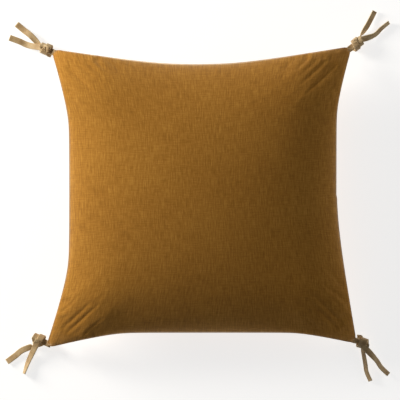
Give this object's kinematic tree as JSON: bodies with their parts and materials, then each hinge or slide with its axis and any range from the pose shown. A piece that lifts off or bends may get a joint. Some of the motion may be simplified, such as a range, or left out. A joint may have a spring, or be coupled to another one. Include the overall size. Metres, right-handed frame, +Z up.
{
  "type": "floor cushion",
  "caption": "Square stuffed floor cushion with a woven linen cover, a zip under its front edge and a knotted flat leather lace at each corner.",
  "frame": {"origin": "on the floor, under the middle of the cushion without its laces", "axes": "+Z up, through the thickness; +Y towards the back; the zip runs along X under the front edge"},
  "size_m": [0.7662, 0.7396, 0.1522],
  "materials": {
    "linen": "plain woven linen, matt, ochre",
    "ticking": "plain cotton, unbleached",
    "fibre": "loose polyester fibre",
    "zip_tape": "woven polyester tape",
    "zip_coil": "nylon coil, satin",
    "zip_metal": "satin brass",
    "leather": "undyed vegetable-tanned lace, matt"
  },
  "bodies": {
    "root": {"cover_top_panel": "linen", "cover_bottom_panel": "linen", "pad_ticking_top": "ticking", "pad_ticking_bottom": "ticking", "pad_filling": "fibre", "zip_tape_front": "zip_tape", "zip_tape_rear": "zip_tape", "zip_coil_front": "zip_coil", "zip_coil_rear": "zip_coil", "zip_bottom_stop": "zip_metal", "zip_top_stop_front": "zip_metal", "zip_top_stop_rear": "zip_metal"},
    "slider": {"zip_slider": "zip_metal"},
    "pull": {"zip_pull": "zip_metal"},
    "lace_back_left": {"lace_fold_back_left": "leather", "lace_knot_back_left": "leather", "lace_tail_a_back_left": "leather", "lace_tail_b_back_left": "leather"},
    "lace_back_right": {"lace_fold_back_right": "leather", "lace_knot_back_right": "leather", "lace_tail_a_back_right": "leather", "lace_tail_b_back_right": "leather"},
    "lace_front_left": {"lace_fold_front_left": "leather", "lace_knot_front_left": "leather", "lace_tail_a_front_left": "leather", "lace_tail_b_front_left": "leather"},
    "lace_front_right": {"lace_fold_front_right": "leather", "lace_knot_front_right": "leather", "lace_tail_a_front_right": "leather", "lace_tail_b_front_right": "leather"}
  },
  "joints": [
    {"name": "zip_slide", "type": "slide", "parent": "root", "child": "slider", "axis": [1, 0, 0], "range_m": [-0.3, 0]},
    {"name": "zip_pull_swing", "type": "hinge", "parent": "slider", "child": "pull", "pos_m": [0.1609, -0.26054, 0.0599], "axis": [0, 1, 0], "range_deg": [-78, 78]},
    {"name": "lace_swing_front_left", "type": "hinge", "parent": "root", "child": "lace_front_left", "pos_m": [-0.30364, -0.29093, 0.018], "axis": [0.3746, 0.9272, 0], "range_deg": [0, 60]},
    {"name": "lace_swing_front_right", "type": "hinge", "parent": "root", "child": "lace_front_right", "pos_m": [0.30422, -0.28386, 0.018], "axis": [-0.3007, -0.9537, 0], "range_deg": [0, 60]},
    {"name": "lace_swing_back_left", "type": "hinge", "parent": "root", "child": "lace_back_left", "pos_m": [-0.29262, 0.28761, 0.018], "axis": [0.3907, 0.9205, 0], "range_deg": [0, 60]},
    {"name": "lace_swing_back_right", "type": "hinge", "parent": "root", "child": "lace_back_right", "pos_m": [0.29425, 0.29375, 0.018], "axis": [0.6157, -0.788, 0], "range_deg": [0, 60]}
  ]
}
